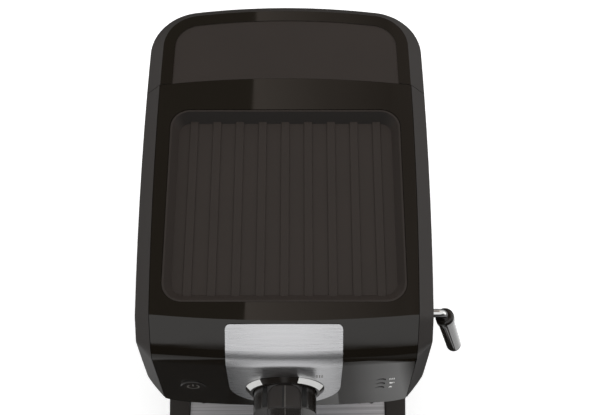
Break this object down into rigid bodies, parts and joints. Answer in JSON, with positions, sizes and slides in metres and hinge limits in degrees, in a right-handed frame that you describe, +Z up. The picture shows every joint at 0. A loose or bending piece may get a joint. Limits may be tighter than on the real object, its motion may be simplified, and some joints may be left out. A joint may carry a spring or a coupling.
{
  "type": "pump espresso machine",
  "caption": "Compact pump espresso machine with a ribbed cup rest, lidded rear water tank, control knob, lever filter holder, side steam wand and pull-out drip tray.",
  "frame": {"origin": "on the standing plane under the feet, on the centre plane, midway between the front and rear feet", "axes": "+Z up, +X to the right of someone facing the front, -Y out of the front with the knob"},
  "size_m": [0.2307, 0.3697, 0.297],
  "materials": {
    "satin_black": "satin moulded ABS",
    "gloss_black": "high gloss moulded ABS",
    "matte_black": "fine-grained matte moulding",
    "brushed_steel": "line-brushed stainless steel",
    "drawn_steel": "plain drawn stainless steel",
    "chrome_plate": "polished chrome plating",
    "cast_aluminium": "bare casting",
    "turned_brass": "turned",
    "black_rubber": "matte",
    "clear_silicone": "translucent silicone",
    "smoke_tank": "clear smoke-grey moulding",
    "handle_black": "semi-gloss phenolic",
    "lamp_lens": "frosted light pipe",
    "board_green": "solder mask",
    "pump_painted": "stove enamel",
    "ceramic_white": "moulded phenolic",
    "fixing_steel": "zinc-plated steel"
  },
  "bodies": {
    "housing": {"base_pan": "satin_black", "rubber_feet": "black_rubber", "left_side_cover": "satin_black", "right_side_cover": "satin_black", "rear_cover": "satin_black", "column_front": "satin_black", "head_underside": "satin_black", "underside_screws": "fixing_steel", "top_fascia": "gloss_black", "cup_tray": "matte_black", "front_plate": "brushed_steel", "knob_bezel": "handle_black", "power_switch": "ceramic_white", "indicator_lenses": "lamp_lens", "lamp_board": "board_green", "tank_dock": "matte_black", "group_head": "cast_aluminium", "group_gasket": "black_rubber", "shower_screen": "drawn_steel", "screen_screw": "fixing_steel", "boiler_lower": "cast_aluminium", "boiler_gasket": "clear_silicone", "boiler_upper": "cast_aluminium", "boiler_bolts": "fixing_steel", "thermostats": "ceramic_white", "control_valve": "turned_brass", "pump": "pump_painted", "pump_cradles": "black_rubber", "suction_hose": "clear_silicone", "pressure_hose": "clear_silicone", "wand_bush": "handle_black", "steam_pipe": "drawn_steel", "lead_bush": "black_rubber"},
    "tank": {"water_tank": "smoke_tank", "tank_valve": "matte_black", "hinge_pins": "fixing_steel"},
    "lid": {"tank_lid": "gloss_black", "lid_inset": "matte_black"},
    "knob": {"knob": "handle_black", "knob_shaft": "turned_brass"},
    "button": {"power_button": "handle_black"},
    "wand": {"steam_tube": "chrome_plate", "steam_tip": "chrome_plate"},
    "frother": {"froth_sleeve": "handle_black"},
    "holder": {"filter_holder": "chrome_plate", "filter_basket": "drawn_steel", "coffee_spout": "handle_black", "holder_handle": "handle_black", "handle_bolt": "fixing_steel"},
    "tray": {"drip_tray": "satin_black"},
    "grate": {"drip_grate": "brushed_steel"}
  },
  "joints": [
    {"name": "tank_lift", "type": "slide", "parent": "housing", "child": "tank", "axis": [0, 0, 1], "range_m": [0, 0.19]},
    {"name": "lid_hinge", "type": "hinge", "parent": "tank", "child": "lid", "pos_m": [0, 0.133, 0.2758], "axis": [-1, 0, 0], "range_deg": [0, 80]},
    {"name": "knob_turn", "type": "hinge", "parent": "housing", "child": "knob", "pos_m": [0, -0.145, 0.228], "axis": [0, -1, 0], "range_deg": [-75, 75]},
    {"name": "power_press", "type": "slide", "parent": "housing", "child": "button", "axis": [0, 1, 0], "range_m": [0, 0.0025], "stiffness_N_per_m": 300},
    {"name": "wand_swing", "type": "hinge", "parent": "housing", "child": "wand", "pos_m": [0.1, -0.0867, 0.237], "axis": [1, 0, 0], "range_deg": [-40, 30]},
    {"name": "frother_pull", "type": "slide", "parent": "wand", "child": "frother", "axis": [0.225, 0, -0.9744], "range_m": [0, 0.04]},
    {"name": "holder_lock", "type": "hinge", "parent": "housing", "child": "holder", "pos_m": [0, -0.072, 0.16], "axis": [0, 0, 1], "range_deg": [-45, 0]},
    {"name": "tray_pull", "type": "slide", "parent": "housing", "child": "tray", "axis": [0, -1, 0], "range_m": [0, 0.12]},
    {"name": "grate_lift", "type": "slide", "parent": "tray", "child": "grate", "axis": [0, 0, 1], "range_m": [0, 0.05]}
  ]
}
